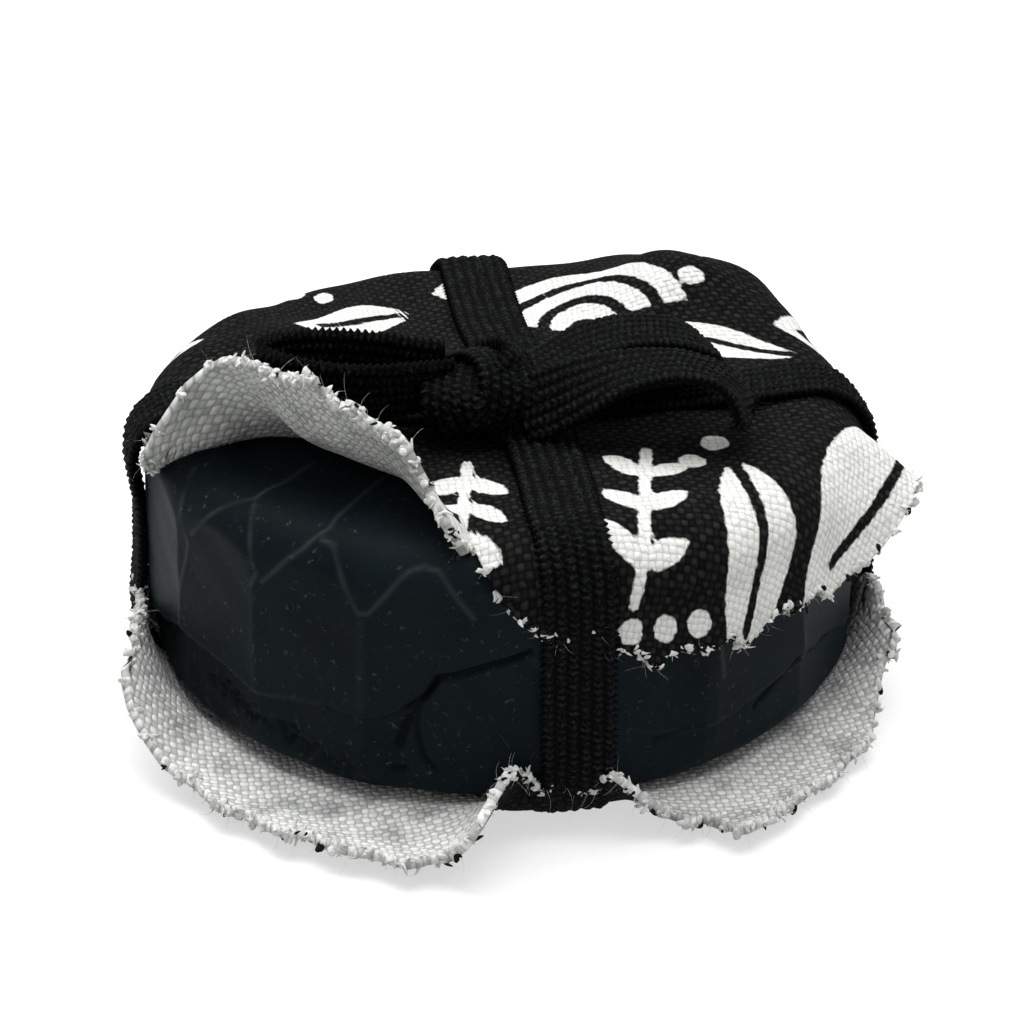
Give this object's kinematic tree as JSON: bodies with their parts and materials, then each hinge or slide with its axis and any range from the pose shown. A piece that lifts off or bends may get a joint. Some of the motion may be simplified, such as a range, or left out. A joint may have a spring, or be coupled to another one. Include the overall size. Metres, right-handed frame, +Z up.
{
  "type": "wrapped rosin cake",
  "caption": "Faceted cake of bow rosin wrapped in a frayed canvas strip and tied both ways with flat elastic in a bow; the face left open takes the bow hair.",
  "frame": {"origin": "middle of the elastic under the base, on the surface the parcel stands on", "axes": "+X to the right of the open front, +Y to the back, +Z up"},
  "size_m": [0.0606, 0.0639, 0.0335],
  "materials": {
    "rosin": "satin, dusty",
    "canvas": "plain weave, printed outside, undyed inside",
    "elastic": "knitted, ribbed edges"
  },
  "bodies": {
    "parcel": {"rosin_cake": "rosin", "cloth_wrap": "canvas", "long_band": "elastic", "cross_band": "elastic", "knot": "elastic"},
    "left_lobe": {"front_left_lobe": "canvas"},
    "right_lobe": {"front_right_lobe": "canvas"},
    "left_loop": {"left_bow_loop": "elastic"},
    "right_loop": {"right_bow_loop": "elastic"},
    "right_end": {"right_tail": "elastic"},
    "left_end": {"left_tail": "elastic"}
  },
  "joints": [
    {"name": "left_lobe_fold", "type": "hinge", "parent": "parcel", "child": "left_lobe", "pos_m": [-0.01546, -0.01965, 0.0017], "axis": [-0.7859, 0.6184, 0], "range_deg": [0, 20]},
    {"name": "right_lobe_fold", "type": "hinge", "parent": "parcel", "child": "right_lobe", "pos_m": [0.01546, -0.01965, 0.0017], "axis": [-0.7859, -0.6184, 0], "range_deg": [0, 20]},
    {"name": "left_loop_lift", "type": "hinge", "parent": "parcel", "child": "left_loop", "pos_m": [-0.0066, -0.0073, 0.03131], "axis": [0, 1, 0], "range_deg": [0, 50]},
    {"name": "right_loop_lift", "type": "hinge", "parent": "parcel", "child": "right_loop", "pos_m": [0.0026, -0.0061, 0.03131], "axis": [0, -1, 0], "range_deg": [0, 50]},
    {"name": "right_tail_lift", "type": "hinge", "parent": "parcel", "child": "right_end", "pos_m": [0.0026, -0.0122, 0.0275], "axis": [0, -1, 0], "range_deg": [0, 50]},
    {"name": "left_tail_lift", "type": "hinge", "parent": "parcel", "child": "left_end", "pos_m": [-0.0066, -0.0025, 0.0261], "axis": [0, 1, 0], "range_deg": [0, 50]}
  ]
}
